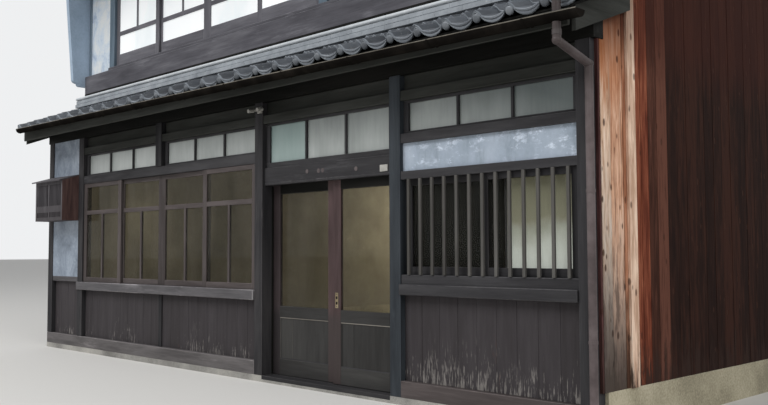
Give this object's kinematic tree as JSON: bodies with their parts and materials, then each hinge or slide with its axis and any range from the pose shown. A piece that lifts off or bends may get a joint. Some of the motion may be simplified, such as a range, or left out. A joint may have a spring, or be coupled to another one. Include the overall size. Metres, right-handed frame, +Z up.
{
  "type": "townhouse",
  "caption": "Two-storey timber townhouse with a tiled gable roof, a tiled pent roof over the street front, sliding entrance doors, glazed windows and a lattice bay.",
  "frame": {"origin": "on the ground, midway between the gable roof's verges and midway between its front and rear gutters", "axes": "+Z up, +Y from the street front to the rear, +X to the right as seen from the street"},
  "size_m": [8.816, 11.12, 7.8422],
  "materials": {
    "stone": "matt, weathered",
    "concrete": "matt, floated",
    "dark_wood": "matt, oiled and smoked",
    "door_wood": "satin",
    "grey_wood": "matt, weathered",
    "floor_wood": "matt",
    "cedar": "matt, weathered",
    "plaster": "matt",
    "grey_plaster": "matt",
    "roof_tile": "matt, smoked",
    "glass": "clear",
    "frosted_glass": "frosted",
    "gutter": "matt",
    "lamp": "satin"
  },
  "bodies": {
    "house": {"plinths": "stone", "side_footings": "concrete", "ground_floor": "concrete", "base_beams": "dark_wood", "threshold": "dark_wood", "front_posts": "dark_wood", "front_sills": "dark_wood", "front_rails": "dark_wood", "door_lintel": "dark_wood", "door_jambs": "dark_wood", "frieze_boards": "dark_wood", "plaster_panels": "plaster", "wainscot": "dark_wood", "transom_frames": "dark_wood", "transom_glass": "frosted_glass", "window_sashes": "door_wood", "window_glass": "glass", "lattice": "dark_wood", "lattice_sashes": "door_wood", "lattice_glass": "glass", "cover_box": "dark_wood", "cover_box_lid": "dark_wood", "wall_light": "lamp", "eave_beam": "dark_wood", "pent_rafters": "dark_wood", "pent_deck": "dark_wood", "pent_tiles": "roof_tile", "pent_flashing": "roof_tile", "pent_boards": "dark_wood", "pent_gutter": "gutter", "pent_downpipe": "gutter", "side_walls": "plaster", "side_cladding": "cedar", "wing_wall": "grey_plaster", "carrying_beam": "dark_wood", "upper_sill_beam": "grey_wood", "upper_posts": "dark_wood", "upper_head": "dark_wood", "upper_sashes": "grey_wood", "upper_glass": "frosted_glass", "floor_beams": "dark_wood", "upper_floor": "floor_wood", "rear_posts": "dark_wood", "rear_rails": "dark_wood", "rear_sashes": "grey_wood", "rear_glass": "frosted_glass", "main_purlins": "dark_wood", "main_rafters": "dark_wood", "main_deck": "dark_wood", "main_tiles": "roof_tile", "main_ridge": "roof_tile", "main_boards": "dark_wood", "main_gutters": "gutter", "main_downpipe": "gutter"},
    "door_left": {"door_left": "door_wood", "door_left_glass": "glass"},
    "door_right": {"door_right": "door_wood", "door_right_glass": "glass"}
  },
  "joints": [
    {"name": "left_door_slide", "type": "slide", "parent": "house", "child": "door_left", "axis": [1, 0, 0], "range_m": [0, 0.78]},
    {"name": "right_door_slide", "type": "slide", "parent": "house", "child": "door_right", "axis": [-1, 0, 0], "range_m": [0, 0.78]}
  ]
}
